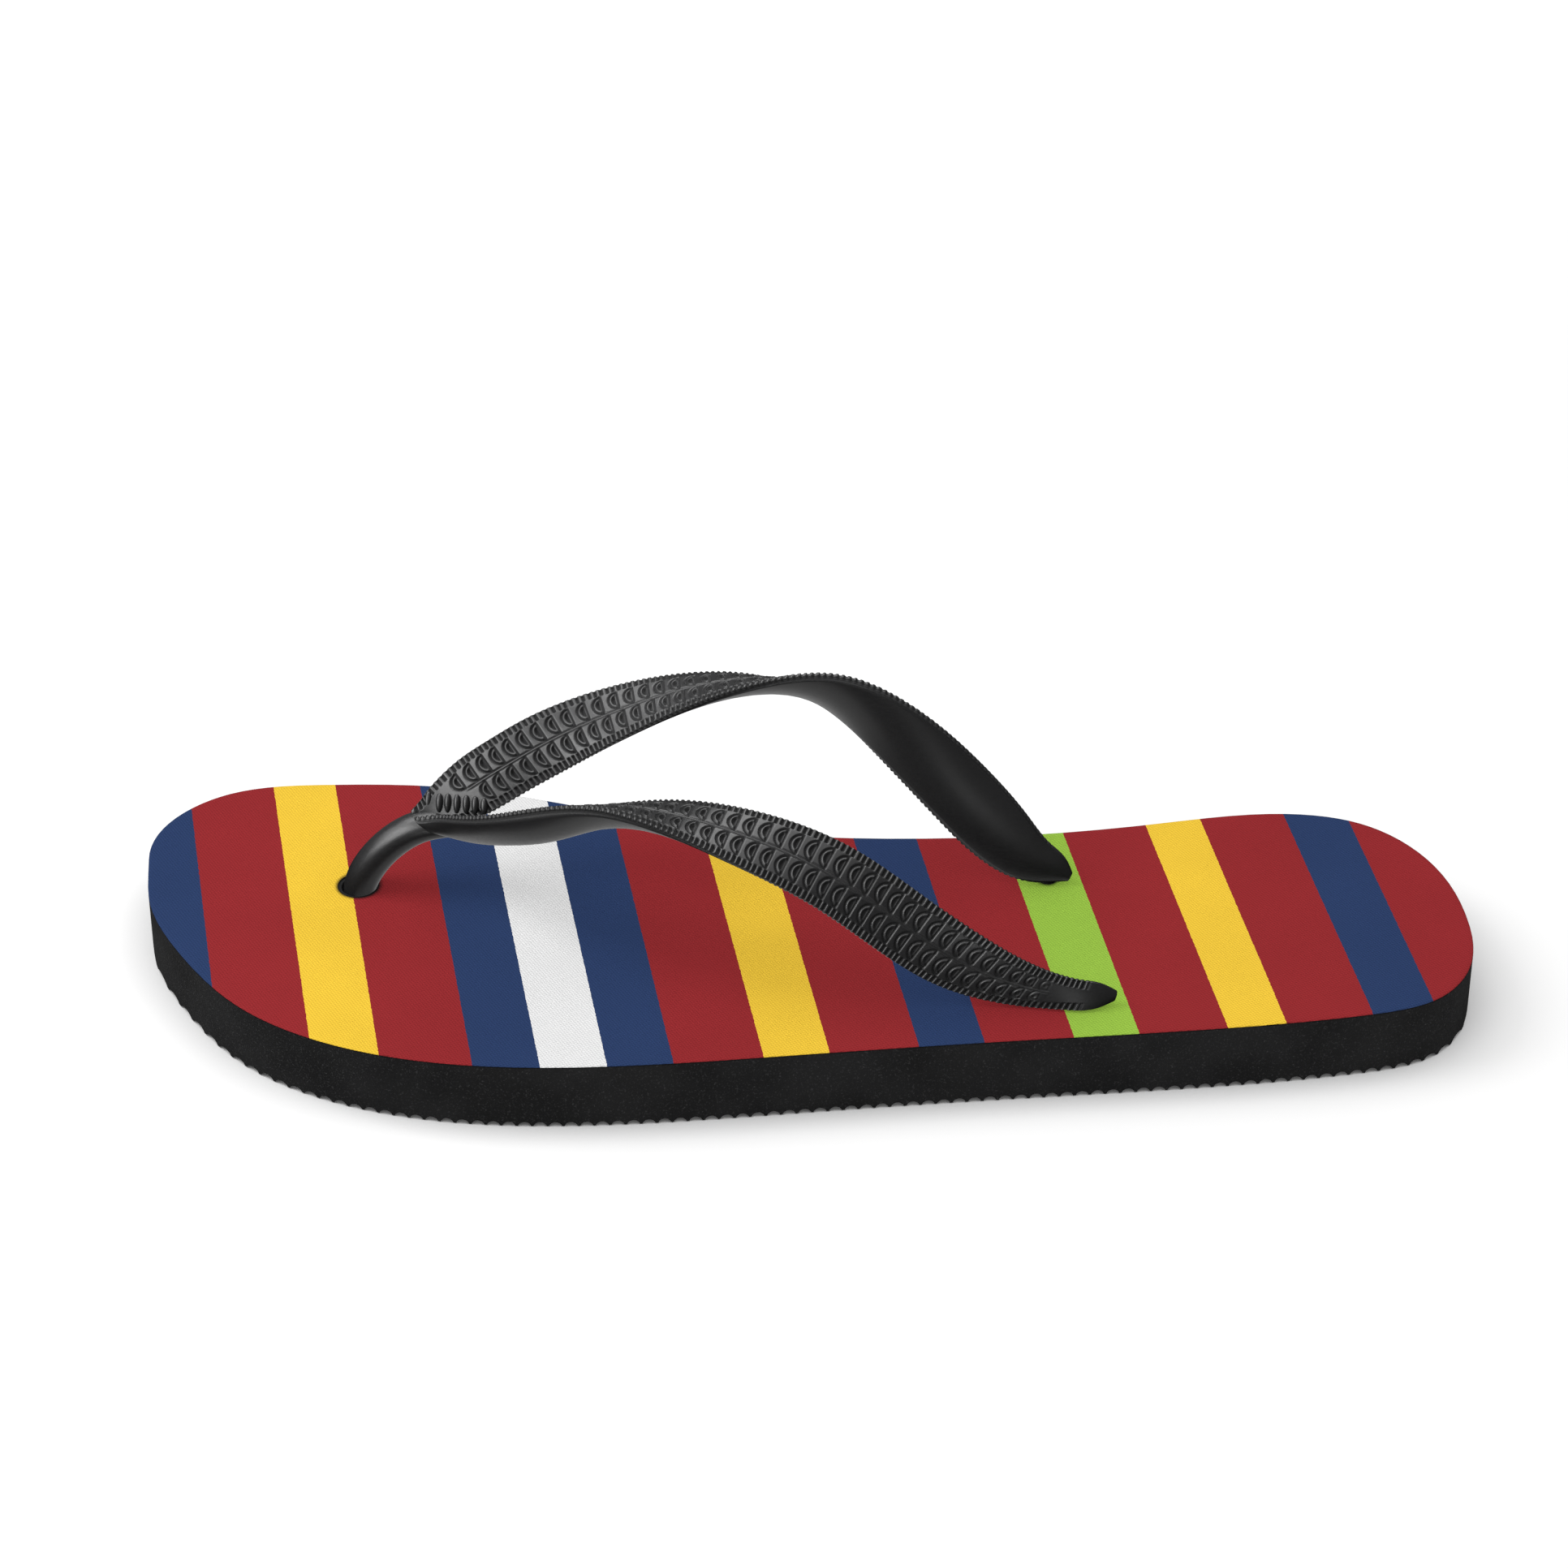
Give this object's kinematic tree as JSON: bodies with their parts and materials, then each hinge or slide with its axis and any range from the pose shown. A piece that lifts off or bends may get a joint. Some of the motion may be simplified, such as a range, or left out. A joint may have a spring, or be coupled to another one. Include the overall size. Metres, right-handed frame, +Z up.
{
  "type": "flip flop",
  "caption": "Left flip flop with a flat foam sole, a striped printed textile footbed and a Y-shaped moulded thong strap anchored at three points.",
  "frame": {"origin": "on the ground, in the middle of the sole's outline box", "axes": "+X from toe to heel, +Y towards the inner (big toe) side, +Z up from the ground"},
  "size_m": [0.2702, 0.0958, 0.0611],
  "materials": {
    "foam": "matte, finely speckled closed-cell foam",
    "printed_textile": "matte woven polyester with printed cross stripes",
    "strap_pvc": "satin moulded PVC with raised crescents and ribs"
  },
  "bodies": {
    "root": {"sole": "foam", "footbed_fabric": "printed_textile", "strap": "strap_pvc"}
  },
  "joints": []
}
